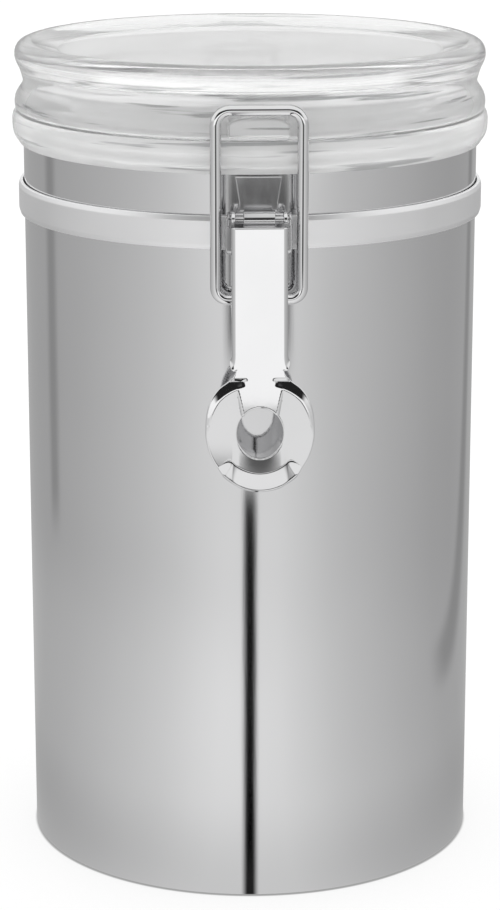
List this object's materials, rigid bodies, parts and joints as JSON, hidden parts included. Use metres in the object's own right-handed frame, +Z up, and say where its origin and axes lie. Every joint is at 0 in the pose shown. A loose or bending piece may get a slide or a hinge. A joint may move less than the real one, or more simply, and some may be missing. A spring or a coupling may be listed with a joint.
{
  "type": "stainless steel canister",
  "caption": "Tall round stainless steel food canister with a clear clamp lid, an over-centre wire latch with a finger-ring lever, and a wire hinge behind",
  "frame": {"origin": "centre of the flat underside of the base, on the can's axis", "axes": "+Z up the can's axis, -Y towards the latch, +Y towards the lid's hinge, +X to the right of someone facing the latch"},
  "size_m": [0.1194, 0.1358, 0.2065],
  "materials": {
    "steel": "polished stainless steel",
    "chromed_steel": "bright polished wire and sheet steel",
    "clear_plastic": "clear acrylic, smooth",
    "silicone": "translucent silicone, satin"
  },
  "bodies": {
    "can": {"can_body": "steel", "collar_ring": "clear_plastic", "clamp_band": "steel", "latch_bracket": "steel", "lever_pin": "steel", "hinge_bracket": "steel", "hinge_wire": "chromed_steel"},
    "lid": {"lid": "clear_plastic", "lid_gasket": "silicone"},
    "lever": {"lever": "chromed_steel"},
    "bail": {"bail": "chromed_steel"}
  },
  "joints": [
    {"name": "lid_hinge", "type": "hinge", "parent": "can", "child": "lid", "pos_m": [0, 0.0614, 0.1932], "axis": [-1, 0, 0], "range_deg": [0, 75]},
    {"name": "lever_swing", "type": "hinge", "parent": "can", "child": "lever", "pos_m": [0, -0.062, 0.1715], "axis": [-1, 0, 0], "range_deg": [0, 56.25]},
    {"name": "bail_swing", "type": "hinge", "parent": "lever", "child": "bail", "pos_m": [0, -0.0608, 0.1524], "axis": [1, 0, 0], "range_deg": [0, 153.75]}
  ],
  "couplings": [
    {"joint": "lever_swing", "follows": "lid_hinge", "ratio": 0.75},
    {"joint": "bail_swing", "follows": "lid_hinge", "ratio": 2.05}
  ]
}
